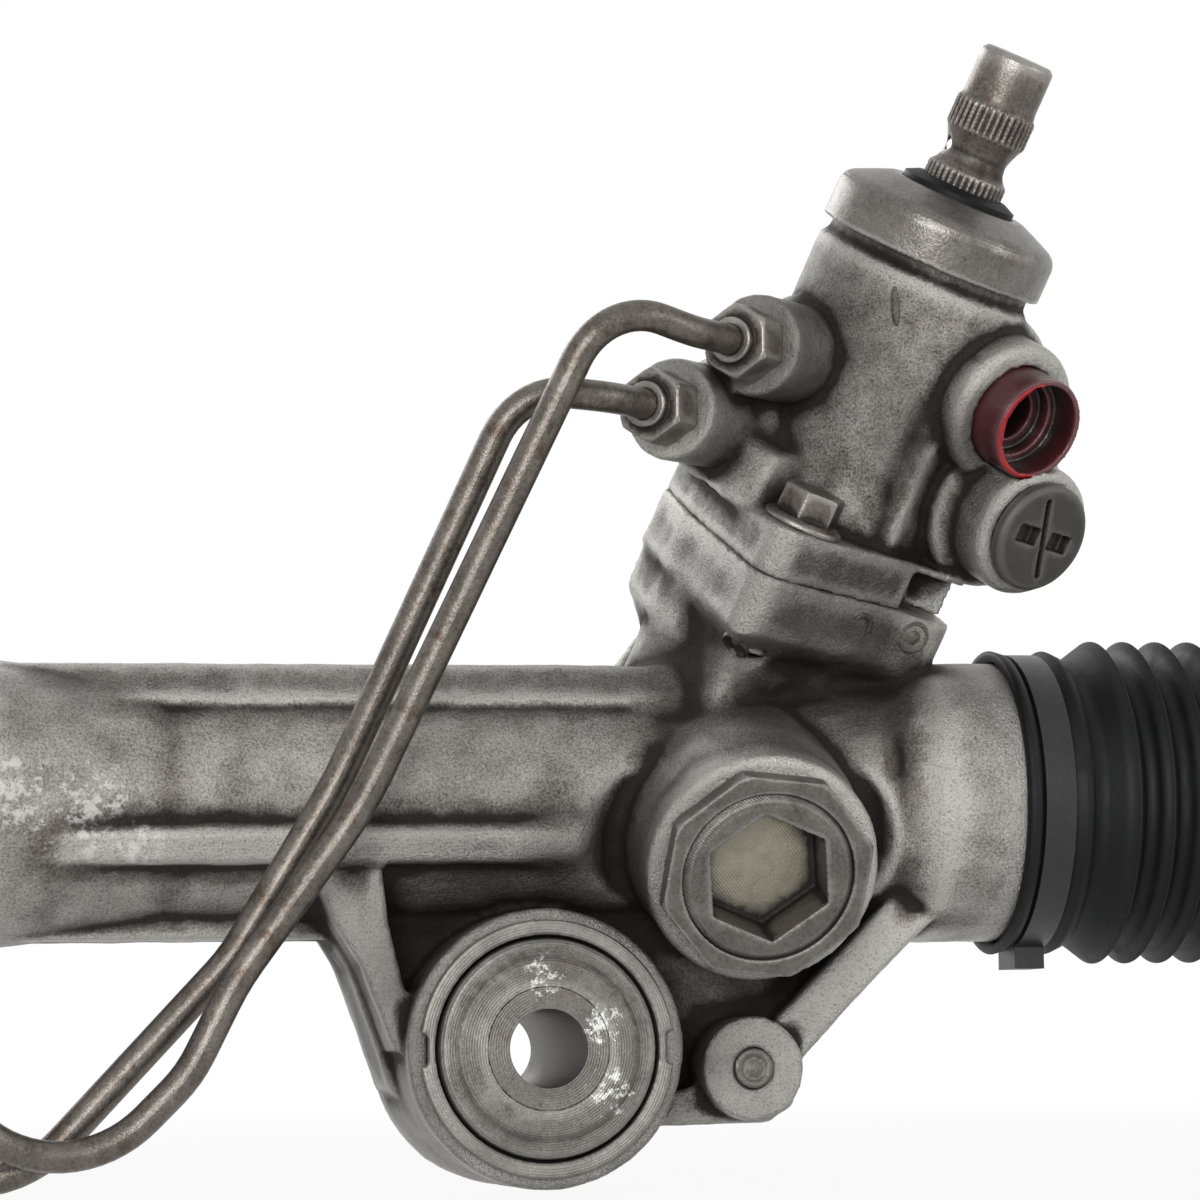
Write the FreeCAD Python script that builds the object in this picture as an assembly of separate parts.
import FreeCAD, Part
import math
import os

from FreeCAD import Placement, Rotation, Vector

# Power assisted steering rack, in millimetres.
# X runs along the rack to the right, Y to the rear, Z up.
# The origin is the middle of the pinion side mounting bore, whose axis is Y.

# Main layout
RACK_Z = 52.1
PINION_X = 43.9
MOUNT_SPAN = 300.0
SHAFT_LEAN = 20.0
TOWER_ROLL = 22.2
STROKE = 75.0
STOP_GAP = 1.3

# Rack and pinion teeth
TOOTH_COUNT = 7
TOOTH_MODULE = 2.3
PRESSURE_ANGLE = 20.0
PINION_SHARE = 0.62
BACKLASH = 0.15
RACK_ADDENDUM = 1.05
RACK_DEDENDUM = 3.4
TIP_CLEARANCE = 0.45
PINION_ADDENDUM = 2.9
CENTRE_DISTANCE = 19.0
PINION_HEAD_R = 15.0
PINION_HEAD_LOW = 40.0
TOOTHED_HALF = 92.0
PINION_FACE = 30.0

# Rack bar, piston and cylinder
BAR_R = 14.0
CYLINDER_BORE_R = 20.5
CYLINDER_TUBE_R = 24.0
PISTON_HALF = 12.0
PISTON_CLEARANCE = 0.1
SEAL_CLEARANCE = 0.04
ROD_CLEARANCE = 0.04
PISTON_END_ROOM = 11.0
BORE_SHIFT = 49.9
END_HOUSING_LENGTH = 28.0
END_HOUSING_FACE = 8.0

# Rack housing casting, lengths from the pinion along X
NECK_END = 74.0
NECK_R = 30.2
NECK_LENGTH = 32.0
BARREL_R = 26.0
COLLAR_R = 30.4
COLLAR_LENGTH = 20.0
COLLAR_OVERLAP = 18.0
FLARE_LENGTH = 38.0
CASTING_BORE_R = 17.0
TUBE_ENTRY = 26.0
RAIL_TOP = 28.8
RAIL_TOP_HALF = 9.0
RAIL_FOOT_HALF = 18.0
RAIL_HEIGHT = 8.0
LOWER_RAIL_HALF = 8.0
RIB_Z = -9.7
RIB_WIDTH = 9.4
RIB_PROUD = 3.0
BOOT_SEAT_R = 29.0
BOOT_SEAT_WIDTH = 10.0
NECK_LIP = 3.0

# Tower that carries the valve housing, heights along the pinion axis
JOINT_HEIGHT = 54.0
FLANGE_DEPTH = 12.5
FLANGE_TAPER = 6.0
SIDE_PLATE_DEPTH = 23.0
PLATE_TAPER = 8.0
TOWER_WAIST_SCALE = 0.78
TOWER_FOOT_SCALE = 0.66
TOWER_FOOT = -6.0
COLUMN_R = 25.0
MAIN_BEARING_R = 20.0
MAIN_BEARING_LOW = 20.0
MAIN_BEARING_WIDTH = 12.0
MAIN_BEARING_BORE = 10.0
BEARING_BALL_R = 3.0
BEARING_BALLS = 9
TEETH_ROOM_R = 13.0
LOWER_BEARING_R = 11.0
LOWER_BEARING_WIDTH = 9.0
LOWER_CAP_R = 13.0
LOWER_BOSS_R = 17.0
LOWER_BOSS_END = -34.0
BOLT_PLACE = (-12.0, -30.0)
BOLT_R = 4.0
BOLT_DEPTH = 18.0
BOLT_HEAD_R = 8.5
BOLT_FLATS = 12.0
BOLT_CLEARANCE = 0.3
BOLT_HEAD_ROOM = 0.5
BOLT_POCKET = 16.0

# Yoke boss and rack guide, distances from the rack axis toward the viewer
YOKE_BOSS_R = 24.5
YOKE_DISH_R = 33.5
YOKE_DISH_FLOOR = 21.5
YOKE_BOSS_END = 43.5
GUIDE_R = 18.0
GUIDE_CLEARANCE = 0.06
GUIDE_START = 3.0
GUIDE_END = 26.5
LINER_THICK = 1.0
LINER_CLEARANCE = 0.04
PLUG_START = 28.5
PLUG_END = 48.6
PLUG_HEX = 24.0
PLUG_HEX_DEPTH = 11.0
LOCK_NUT_FLATS = 42.0
LOCK_NUT_HEIGHT = 4.6
SPRING_R = 6.6
SPRING_WIRE_R = 1.2
SPRING_TURNS = 3.5
SPRING_POCKET = 8.0
SPRING_POCKET_R = 8.4

# Mounting arm and bush
BUSH_CASTING_R = 28.7
BUSH_SLEEVE_R = 24.4
BUSH_SLEEVE_WALL = 1.2
BUSH_FLANGE_R = 26.4
BUSH_FLANGE_THICK = 1.6
NOTCH_DEPTH = 1.6
NOTCH_WIDTH = 6.7
BUSH_INNER_R = 12.5
MOUNT_BORE_R = 8.1
MOUNT_LENGTH = 66.0
WASHER_R = 22.5
WASHER_THICK = 8.2
WASHER_PROUD = 1.2
BUSH_REAR_SETBACK = 10.0
BRACKET_HALF = 20.0
BRACKET_WALL = 6.0
BRACKET_EAR_HALF = 9.0
CLAMP_SLIT = 3.0
CLAMP_SCREW_RISE = 6.5
CLAMP_SCREW_FLATS = 13.0
ARM_FRONT = -15.0
ARM_REAR = 15.0
WEB_FRONT = -8.0
FRONT_RIB_FACE = -24.5
DOWEL_X = 45.1
DOWEL_Z = -4.6
DOWEL_BOSS_R = 10.8
DOWEL_FRONT = -23.0
DOWEL_R = 4.2

# Valve housing, heights along the pinion axis from the rack plane
VALVE_FLANGE = 10.5
VALVE_FLANGE_SCALE = 0.985
NOTCH_START = 17.3
NOTCH_FLOOR = -13.0
VALVE_BODY_R = 24.0
VALVE_TOP = 121.0
VALVE_BORE_R = 18.0
VALVE_BORE_TOP = 102.0
VALVE_NECK_BORE_R = 14.0
BLOCK_SIDE = 29.0
BLOCK_FRONT = 24.3
BLOCK_EDGE = 10.0
BLOCK_REAR = 14.0
BLOCK_TOP = 98.0
BLOCK_FOOT = 9.0
LINE_PORT_TURN = 47.0
LINE_BOSS_R = 10.7
LINE_BOSS_LENGTH = 34.0
LINE_BOSS_FOOT = 18.0
FEED_PORT_TURN = 24.0
FEED_BOSS_R = (15.8, 14.4)
FEED_BOSS_LENGTH = 30.0
FEED_BOSS_FOOT = 10.0
BOSS_FLARE = 3.0
FEED_MOUTH_R = 11.2
FEED_CAP_PROUD = 8.0
LINE_MOUTHS = ((-35.0, -22.0, 95.0), (-46.0, -21.0, 76.0))
FEED_MOUTHS = ((23.7, -23.7, 101.5), (36.6, -29.1, 80.5))
FEED_CAP_DEPTH = 10.0
FLUID_BORE_R = 2.5

# Valve sleeve, input shaft and torsion bar
SLEEVE_BOTTOM = 57.0
SLEEVE_TOP = 101.0
SLEEVE_CLEARANCE = 0.2
SLEEVE_RING_CLEARANCE = 0.03
SHAFT_R = 9.5
SHAFT_SEAL_R = 9.0
SHAFT_CLEARANCE = 0.05
SHAFT_TOP = 170.3
SHAFT_TIP_R = 8.1
SERRATION_R = 9.0
SERRATION_COUNT = 36
SERRATION_DEPTH = 0.75
UPPER_SERRATION = 151.5
LOWER_SERRATION = 136.5
SERRATION_WIDTH = 7.5
WAIST_R = 6.8
TORSION_R = 2.6
TORSION_BORE_R = 3.2
VALVE_TWIST = 4.0
TANG_R = 8.0
TANG_HALF = 5.0
TANG_LENGTH = 7.0
TORSION_PIN_HEIGHT = 148.0
TORSION_PIN_R = 1.5
CAP_R = 24.8
CAP_BOTTOM = 124.0
CAP_TOP = 138.0
CAP_WALL = 1.4
CAP_SEAT_R = 22.6
CAP_NECK = 5.0

# Inner tie rods
SOCKET_R = 18.5
SOCKET_LENGTH = 33.0
BALL_R = 13.0
BALL_DEPTH = 23.0
SEAT_THICK = 1.9
SEAT_CLEARANCE = 0.06
SEAT_OPENING = 53.0
SOCKET_LIP = 8.6
SOCKET_MOUTH_R = 11.6
ROD_NECK_R = 6.0
ROD_R = 7.5
ROD_GROOVE = 0.5
ROD_LENGTH = 230.0
ROD_THREAD_R = 7.0
ROD_THREAD_LENGTH = 62.0
STUD_R = 8.0
STUD_LENGTH = 20.0
LOCK_WASHER_THICK = 1.5
CLAW_THICK = 1.3
SOCKET_FLAT_DEPTH = 1.6
JAM_NUT_FLATS = 22.0
JAM_NUT_HEIGHT = 9.0
JAM_NUT_GAP = 2.0
THREAD_RELIEF = 0.3

# Boots
BOOT_WALL = 1.8
BOOT_FIT = 0.25
BOOT_LIP_R = 33.0
BOOT_RIDGE_R = 35.2
BOOT_VALLEY_R = 29.5
BOOT_PITCH = 7.4
BOOT_RIDGES = 20
BOOT_TAPER_RIDGES = 6
BOOT_SMALL_R = 10.4
BOOT_SMALL_LENGTH = 14.0
CLAMP_THICK = 0.9
BOOT_FIRST_RIDGE = 9.0

# Fluid lines
LINE_R = 3.175
LINE_LEAD = 12.0
LINE_END_LEAD = 18.0
LINE_END_BEND = 14.0
# Corners of each line on its way down, in the part's frame, each with its bend radius
RIGHT_TURN_DOWN = (
    ((7.3, -66.0, 149.1), 15.0),
    ((-39.5, -43.5, 48.8), 60.0),
    ((-65.0, -43.5, 14.1), 60.0))
LEFT_TURN_DOWN = (
    ((-8.6, -54.0, 132.6), 15.0),
    ((-43.8, -36.0, 53.6), 60.0),
    ((-65.0, -36.0, 18.9), 40.0))
# Corners on the way to the port: share of the way along X, Y, Z, and radius as a share of it
RIGHT_TURN_RETURN = (
    ((0.1, -43.5, -4.3), 0.32),
    ((0.39, -43.5, -31.0), 0.26))
LEFT_TURN_RETURN = (
    ((0.17, -37.0, -31.1), 0.087),
    ((0.63, -42.0, 46.0), 0.108))
FLARE_NUT_FLATS = 14.0
FLARE_NUT_LENGTH = 12.0
FLARE_NUT_GRIP = 6.0
CYLINDER_PORT_R = 9.0
CYLINDER_PORT_LENGTH = 12.0
PORT_FOOT = 2.0
PORT_CLEARANCE = 3.5
PORT_TURN = 75.0
PORT_INSET = 5.5

FIT = 0.02

X_DIR = Vector(1, 0, 0)
Y_DIR = Vector(0, 1, 0)
Z_DIR = Vector(0, 0, 1)

lean = math.radians(SHAFT_LEAN)
roll = math.radians(TOWER_ROLL)
SHAFT_DIR = Vector(math.sin(lean), -math.cos(lean) * math.sin(roll), math.cos(lean) * math.cos(roll))
YOKE_DIR = Vector(0, -math.cos(roll), -math.sin(roll))
RACK_AXIS = Vector(PINION_X, 0, RACK_Z)
PINION_AXIS = RACK_AXIS - YOKE_DIR * CENTRE_DISTANCE

STOP_LENGTH = STROKE + STOP_GAP
BORE_HALF = PISTON_HALF + STROKE + PISTON_END_ROOM
BORE_MIDDLE = BORE_SHIFT - PINION_X - MOUNT_SPAN
BORE_RIGHT = BORE_MIDDLE + BORE_HALF
BORE_LEFT = BORE_MIDDLE - BORE_HALF
CYLINDER_END = BORE_LEFT - END_HOUSING_LENGTH
COLLAR_END = -BORE_RIGHT - COLLAR_OVERLAP
BUSH_FRONT = MOUNT_LENGTH / 2 - WASHER_PROUD - BUSH_FLANGE_THICK
BUSH_REAR = MOUNT_LENGTH / 2 - BUSH_REAR_SETBACK
BAR_RIGHT = NECK_END + STOP_LENGTH
BAR_LEFT = CYLINDER_END - STOP_LENGTH


def frame(origin, x_dir, z_dir):
    """Placement whose local X and Z point the given ways."""
    y_dir = z_dir.cross(x_dir)
    return Placement(origin, Rotation(x_dir, y_dir, z_dir, "ZXY"))


# Local Z up the pinion shaft, local X to the right, local -Y toward the viewer
VALVE_FRAME = frame(PINION_AXIS, SHAFT_DIR.cross(YOKE_DIR), SHAFT_DIR)
# Local Z out of the yoke boss, local X along the rack
YOKE_FRAME = frame(RACK_AXIS, X_DIR, YOKE_DIR)
# Local Z along the rack to the right, measured from the pinion
RACK_FRAME = frame(RACK_AXIS, Y_DIR, X_DIR)


def placed(shape, placement):
    """Copy of a shape modelled in a local frame, moved to its place."""
    moved = shape.copy()
    moved.Placement = placement.multiply(moved.Placement)
    return moved


def cylinder(radius, low, high):
    """Cylinder on local Z between two heights."""
    return Part.makeCylinder(radius, high - low, Vector(0, 0, low))


def ring(outer, inner, low, high):
    """Washer shape on local Z."""
    return cylinder(outer, low, high).cut(cylinder(inner, low - 1, high + 1))


def turned(profile):
    """Solid turned about local Z from (radius, height) corners."""
    points = [Vector(radius, 0, height) for radius, height in profile]
    face = Part.Face(Part.makePolygon(points + [points[0]]))
    return face.revolve(Vector(0, 0, 0), Z_DIR, 360)


def prism(corners, low, high):
    """Straight prism on local Z from (x, y) corners."""
    points = [Vector(x, y, low) for x, y in corners]
    face = Part.Face(Part.makePolygon(points + [points[0]]))
    return face.extrude(Vector(0, 0, high - low))


def polygon_corners(sides, flats, turn=0.0):
    """Corners of a regular polygon given across its flats."""
    radius = flats / 2 / math.cos(math.pi / sides)
    angles = [math.radians(turn) + 2 * math.pi * i / sides for i in range(sides)]
    return [(radius * math.cos(a), radius * math.sin(a)) for a in angles]


def rounded_prism(corners, low, high, radius):
    """Prism with its standing edges rounded."""
    body = prism(corners, low, high)
    upright = [e for e in body.Edges if abs(e.tangentAt(e.FirstParameter).z) > 0.99]
    return body.makeFillet(radius, upright)


def tapered(corners, low, high, low_scale, high_scale):
    """Prism that grows evenly from one height to another."""
    sections = []
    for height, scale in ((low, low_scale), (high, high_scale)):
        points = [Vector(x * scale, y * scale, height) for x, y in corners]
        sections.append(Part.makePolygon(points + [points[0]]))
    return Part.makeLoft(sections, True, True)


def hexagon(flats, low, high, turn=0.0):
    return prism(polygon_corners(6, flats, turn), low, high)


def chamfered(shape, radius, low, high, drop):
    """Trim both ends of a nut or bolt head to a cone."""
    edge = radius - drop
    profile = [(0, low), (edge, low), (radius, low + drop), (radius, high - drop), (edge, high), (0, high)]
    return shape.common(turned(profile))


def fused(shapes):
    return shapes[0].multiFuse(shapes[1:])


def drilled(shape, tools):
    return shape.cut(tools)


# Rack and pinion teeth

def pinion_profile():
    """Half angles and radii of one pinion tooth flank, square to the pinion axis."""
    pitch_r = pinion_pitch_radius()
    transverse = math.atan(math.tan(math.radians(PRESSURE_ANGLE)) / math.cos(lean))
    base_r = pitch_r * math.cos(transverse)
    half_at_pitch = PINION_SHARE * math.pi / TOOTH_COUNT
    involute_at_pitch = math.tan(transverse) - transverse
    root_r = pitch_r - RACK_ADDENDUM - TIP_CLEARANCE
    tip_r = pitch_r + PINION_ADDENDUM
    flank = [(root_r, half_at_pitch + involute_at_pitch)]
    steps = 2
    for step in range(steps + 1):
        radius = base_r + (tip_r - base_r) * step / steps
        angle = math.acos(base_r / radius)
        involute = math.tan(angle) - angle
        flank.append((radius, half_at_pitch + involute_at_pitch - involute))
    return flank


def pinion_pitch_radius():
    return TOOTH_COUNT * TOOTH_MODULE / 2 / math.cos(lean)


def pinion_section(height):
    """Outline of the toothed part at one height, turned by the helix."""
    twist = -height * math.tan(lean) / pinion_pitch_radius()
    flank = pinion_profile()
    points = []
    for tooth in range(TOOTH_COUNT):
        # A tooth faces the rack, which lies toward local -Y and has a gap there
        middle = -math.pi / 2 + tooth * 2 * math.pi / TOOTH_COUNT + twist
        rising = [(r, middle - a) for r, a in flank]
        falling = [(r, middle + a) for r, a in reversed(flank)]
        for radius, angle in rising + falling:
            points.append(Vector(radius * math.cos(angle), radius * math.sin(angle), height))
    return Part.makePolygon(points + [points[0]])


def pinion_teeth():
    steps = 8
    heights = [-PINION_FACE / 2 + PINION_FACE * i / steps for i in range(steps + 1)]
    return Part.makeLoft([pinion_section(h) for h in heights], True, False)


def rack_tooth_space():
    """One gap between rack teeth, cut square to the rack; local Z points to the pinion."""
    pitch = math.pi * TOOTH_MODULE
    slope = math.tan(math.radians(PRESSURE_ANGLE))
    pitch_plane = CENTRE_DISTANCE - pinion_pitch_radius()
    half_gap = (PINION_SHARE * pitch + BACKLASH) / 2
    above = RACK_ADDENDUM + 1.0
    low = half_gap - RACK_DEDENDUM * slope
    high = half_gap + above * slope
    corners = [(-low, pitch_plane - RACK_DEDENDUM), (low, pitch_plane - RACK_DEDENDUM)]
    corners += [(high, pitch_plane + above), (-high, pitch_plane + above)]
    points = [Vector(x, -BAR_R - 1, z) for x, z in corners]
    face = Part.Face(Part.makePolygon(points + [points[0]]))
    return face.extrude(Vector(0, 2 * BAR_R + 2, 0))


def rack_bar():
    """Toothed bar with threaded ends."""
    bar = chamfered(cylinder(BAR_R, BAR_LEFT, BAR_RIGHT), BAR_R, BAR_LEFT, BAR_RIGHT, 1.0)
    bar = placed(bar, RACK_FRAME)
    pitch = math.pi * TOOTH_MODULE
    tip_plane = CENTRE_DISTANCE - pinion_pitch_radius() + RACK_ADDENDUM
    spaces = int(TOOTHED_HALF / pitch)
    cutters = [Part.makeBox(2 * TOOTHED_HALF, 2 * BAR_R, BAR_R, Vector(-TOOTHED_HALF, -BAR_R, tip_plane))]
    for index in range(-spaces, spaces + 1):
        space = rack_tooth_space()
        space.translate(Vector(index * pitch, 0, 0))
        cutters.append(space)
    toothed = frame(RACK_AXIS, X_DIR, -YOKE_DIR)
    bar = bar.cut([placed(c, toothed) for c in cutters])
    holes = [placed(cylinder(STUD_R, BAR_RIGHT - STUD_LENGTH - 4, BAR_RIGHT + 1), RACK_FRAME)]
    holes.append(placed(cylinder(STUD_R, BAR_LEFT - 1, BAR_LEFT + STUD_LENGTH + 4), RACK_FRAME))
    return bar.cut(holes)


# Rack housing

def tower_plan():
    """Corners of the joint face, from the left side round the front."""
    return [(-28.0, -1.0), (-20.5, -45.0), (17.5, -24.5), (32.5, -20.5), (28.0, 1.0), (20.0, 42.0), (-17.5, 25.0),
            (-28.5, 21.0)]


def side_plate_plan():
    """Corners of the deep plate on the left of the tower."""
    return [(-27.5, 19.5), (-26.6, -1.0), (-24.5, -13.0), (-8.0, -18.0), (-8.0, 19.5)]


def at_bolts(shape):
    """Copies of a shape at the two flange bolts, on either side of the shaft."""
    copies = []
    for sign in (1, -1):
        copy = shape.copy()
        copy.translate(Vector(sign * BOLT_PLACE[0], sign * BOLT_PLACE[1], 0))
        copies.append(copy)
    return copies


def barrel():
    """Turned outline of the casting along the rack."""
    collar_start = collar_inner_end()
    neck_start = NECK_END - NECK_LENGTH
    seat_end = NECK_END - NECK_LIP
    seat_start = seat_end - BOOT_SEAT_WIDTH
    profile = [
        (0, -COLLAR_END), (COLLAR_R - 1, -COLLAR_END), (COLLAR_R, 1 - COLLAR_END), (COLLAR_R, collar_start),
        (BARREL_R, collar_start + FLARE_LENGTH), (BARREL_R, neck_start - NECK_R + BARREL_R - 4),
        (NECK_R, neck_start), (NECK_R, seat_start), (BOOT_SEAT_R, seat_start), (BOOT_SEAT_R, seat_end),
        (NECK_R, seat_end), (NECK_R, NECK_END - 1), (NECK_R - 1, NECK_END), (0, NECK_END)]
    return placed(turned(profile), RACK_FRAME)


def collar_inner_end():
    return -COLLAR_END + COLLAR_LENGTH


def rail(top, top_half, foot_half, height, low, high):
    """Ridge along the barrel with sloping sides, modelled below its flat top, toward local Z."""
    corners = [(-top_half, top), (-foot_half, top - height), (-foot_half, top - height - 2),
               (foot_half, top - height - 2), (foot_half, top - height), (top_half, top)]
    points = [Vector(low, y, z) for y, z in corners]
    body = Part.Face(Part.makePolygon(points + [points[0]])).extrude(X_DIR * (high - low))
    return body.makeFillet(1.6, [e for e in body.Edges if is_long_top(e, top)])


def barrel_ribs():
    """Rail on top, rail below and the long bead on the front."""
    rail_end = PINION_X + 4
    rail_start = PINION_X + collar_inner_end()
    along = frame(Vector(0, 0, RACK_Z), X_DIR, Z_DIR)
    upside_down = frame(Vector(0, 0, RACK_Z), X_DIR, -Z_DIR)
    top = rail(RAIL_TOP, RAIL_TOP_HALF, RAIL_FOOT_HALF, RAIL_HEIGHT, rail_start, rail_end)
    below = rail(RAIL_TOP, LOWER_RAIL_HALF, LOWER_RAIL_HALF + 2, RAIL_HEIGHT / 2, rail_start, rail_end)
    angle = math.asin(-RIB_Z / BARREL_R)
    outward = Vector(0, -math.cos(angle), -math.sin(angle))
    bead_frame = frame(Vector(0, 0, RACK_Z), X_DIR, outward)
    bead = rail(BARREL_R + RIB_PROUD, RIB_WIDTH / 2 - 1.5, RIB_WIDTH / 2, RIB_PROUD, rail_start, rail_end - 4)
    return [placed(top, along), placed(below, upside_down), placed(bead, bead_frame)]


def is_long_top(edge, height):
    """True for an edge along X at the given height."""
    first = edge.Vertexes[0].Point
    last = edge.Vertexes[-1].Point
    along = abs(last.x - first.x) > 1 and abs(last.y - first.y) < 0.01
    return along and abs(first.z - height) < 0.01 and abs(last.z - height) < 0.01


def tower():
    """Cast column and flange that carry the valve housing."""
    plan = tower_plan()
    flange_low = JOINT_HEIGHT - FLANGE_DEPTH
    waist = flange_low - FLANGE_TAPER
    plate_low = JOINT_HEIGHT - SIDE_PLATE_DEPTH
    flange = rounded_prism(plan, flange_low, JOINT_HEIGHT, 5.0)
    shoulder = tapered(plan, waist, flange_low, TOWER_WAIST_SCALE, 1.0)
    column = tapered(plan, TOWER_FOOT, waist, TOWER_FOOT_SCALE, TOWER_WAIST_SCALE)
    plate = prism(side_plate_plan(), plate_low, JOINT_HEIGHT - 1)
    plate_end = tapered(side_plate_plan(), plate_low - PLATE_TAPER, plate_low, TOWER_WAIST_SCALE, 1.0)
    plate_foot = tapered(side_plate_plan(), TOWER_FOOT, plate_low - PLATE_TAPER, 1.0, TOWER_WAIST_SCALE)
    core = cylinder(COLUMN_R, TOWER_FOOT, flange_low)
    foot = cylinder(LOWER_BOSS_R, LOWER_BOSS_END, 0)
    pieces = [flange, shoulder, column, plate, plate_end, plate_foot, core, foot]
    return [placed(piece, VALVE_FRAME) for piece in pieces]


def yoke_dish():
    """Hollow ring round the yoke boss, cut into the barrel and the foot of the tower."""
    inner = YOKE_BOSS_R - 1
    ring_profile = [(inner, YOKE_DISH_FLOOR), (YOKE_BOSS_R + 5, YOKE_DISH_FLOOR), (YOKE_DISH_R, BARREL_R + 1),
                    (YOKE_DISH_R + 3, YOKE_BOSS_END), (inner, YOKE_BOSS_END)]
    return placed(turned(ring_profile), YOKE_FRAME)


def yoke_boss():
    boss = turned([(0, 0), (YOKE_BOSS_R + 2.5, 0), (YOKE_BOSS_R, 34), (YOKE_BOSS_R, YOKE_BOSS_END - 1),
                   (YOKE_BOSS_R - 1, YOKE_BOSS_END), (0, YOKE_BOSS_END)])
    return placed(boss, YOKE_FRAME)


def on_y(shape):
    """Turn a shape modelled on local Z so that local Z runs to the rear and local Y points up."""
    return placed(shape, frame(Vector(0, 0, 0), -X_DIR, Y_DIR))


def arm_outline():
    """Front view outline of the web between barrel, bush and dowel boss, as (x, z)."""
    return [
        (-49.0, 40.0), (-42.5, 25.0), (-38.0, 17.5), (-33.5, 5.0), (-29.0, -8.0), (-12.0, -24.0), (4.0, -26.0),
        (20.0, -20.0), (26.0, -16.3), (48.0, -16.0), (54.0, -12.5), (55.5, -3.0), (67.3, 9.4),
        (89.0, 30.0), (89.0, 50.0), (-49.0, 50.0)]


def wall_on_y(corners, front, rear):
    """Plate between two Y positions from an (x, z) outline."""
    points = [Vector(x, front, z) for x, z in corners]
    face = Part.Face(Part.makePolygon(points + [points[0]]))
    return face.extrude(Vector(0, rear - front, 0))


def mounting_arm():
    """Web, bush boss, dowel boss and the stiffening ribs below the barrel."""
    web = wall_on_y(arm_outline(), WEB_FRONT, ARM_REAR)
    boss = cylinder_on_y(BUSH_CASTING_R, -BUSH_FRONT, BUSH_REAR, 0, 0)
    dowel = cylinder_on_y(DOWEL_BOSS_R, DOWEL_FRONT, ARM_REAR, DOWEL_X, DOWEL_Z)
    front_rib = wall_on_y([(-49, 40), (-42.5, 26), (-37, 17), (-30.5, 0), (-24, 0), (-28.4, 13), (-31.5, 26),
                           (-33, 40)], FRONT_RIB_FACE, 0)
    lower_rib = wall_on_y([(14, -22), (26, -16.3), (50, -16), (50, -5), (30, -9), (20, -10)], ARM_FRONT - 1, 0)
    bridge = wall_on_y([(49, -16), (55, -12.5), (57, -3), (69, 9.4), (90, 30), (84, 38), (62, 16), (50, 4)],
                       ARM_FRONT - 2, 0)
    return [web, boss, dowel, front_rib, lower_rib, bridge]


def cylinder_on_y(radius, front, rear, x, z):
    return Part.makeCylinder(radius, rear - front, Vector(x, front, z), Y_DIR)


def housing_hollows():
    """Bores of the rack housing."""
    tube_stop = -COLLAR_END + TUBE_ENTRY
    along = [cylinder(CASTING_BORE_R, -COLLAR_END - 1, NECK_END + 1)]
    along.append(cylinder(CYLINDER_TUBE_R, -COLLAR_END - 1, tube_stop))
    bearing_floor = MAIN_BEARING_LOW
    lower_floor = -PINION_FACE / 2 - 1
    lower_end = lower_floor - LOWER_BEARING_WIDTH
    up = [cylinder(MAIN_BEARING_R, bearing_floor, JOINT_HEIGHT + 1)]
    up.append(cylinder(TEETH_ROOM_R, lower_floor, bearing_floor + 1))
    up.append(cylinder(LOWER_BEARING_R, lower_end - 1, lower_floor + 1))
    up.append(cylinder(LOWER_CAP_R, LOWER_BOSS_END - 1, lower_end))
    up += at_bolts(cylinder(BOLT_R, JOINT_HEIGHT - BOLT_DEPTH - 1, JOINT_HEIGHT + 1))
    yoke = cylinder(GUIDE_R, 0, YOKE_BOSS_END + 1)
    cuts = [placed(c, RACK_FRAME) for c in along]
    cuts += [placed(c, VALVE_FRAME) for c in up]
    cuts.append(placed(yoke, YOKE_FRAME))
    cuts.append(cylinder_on_y(BUSH_SLEEVE_R, -MOUNT_LENGTH, MOUNT_LENGTH, 0, 0))
    cuts.append(cylinder_on_y(DOWEL_R, DOWEL_FRONT - 1, ARM_REAR - 4, DOWEL_X, DOWEL_Z))
    return cuts


def rack_housing():
    skin = fused([barrel()] + barrel_ribs() + tower())
    pieces = [skin.cut(yoke_dish()), yoke_boss()] + mounting_arm()
    return drilled(fused(pieces), housing_hollows())


# Cylinder, its seals and the outboard mount

def port_axis(x):
    """Frame of a cylinder port that faces down and forward."""
    turn = math.radians(PORT_TURN)
    outward = Vector(0, -math.sin(turn), -math.cos(turn))
    return frame(Vector(PINION_X + x, 0, RACK_Z), X_DIR, outward)


def port_places():
    return (BORE_RIGHT - PORT_INSET, BORE_LEFT + PORT_INSET)


def cylinder_tube():
    """Steel tube with a welded port boss at each end of the stroke."""
    start = -COLLAR_END + TUBE_ENTRY - FIT
    end = CYLINDER_END + END_HOUSING_FACE + FIT
    tube = placed(cylinder(CYLINDER_TUBE_R - FIT, end, start), RACK_FRAME)
    bore = placed(cylinder(CYLINDER_BORE_R, end - 1, start + 1), RACK_FRAME)
    mouth = CYLINDER_TUBE_R + CYLINDER_PORT_LENGTH
    bosses = []
    drills = [bore]
    for x in port_places():
        boss = turned([(0, CYLINDER_BORE_R + 1), (CYLINDER_PORT_R + PORT_FOOT, CYLINDER_BORE_R + 1),
                       (CYLINDER_PORT_R, CYLINDER_TUBE_R + 5), (CYLINDER_PORT_R, mouth), (0, mouth)])
        bosses.append(placed(boss, port_axis(x)))
        drills.append(placed(cylinder(FLUID_BORE_R, 0, mouth + 1), port_axis(x)))
        drills.append(placed(cylinder(nut_thread_radius(), mouth - FLARE_NUT_GRIP - 1, mouth + 1), port_axis(x)))
    return fused([tube] + bosses).cut(drills)


def nut_thread_radius():
    return FLARE_NUT_FLATS / 2 - 1.5


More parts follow.
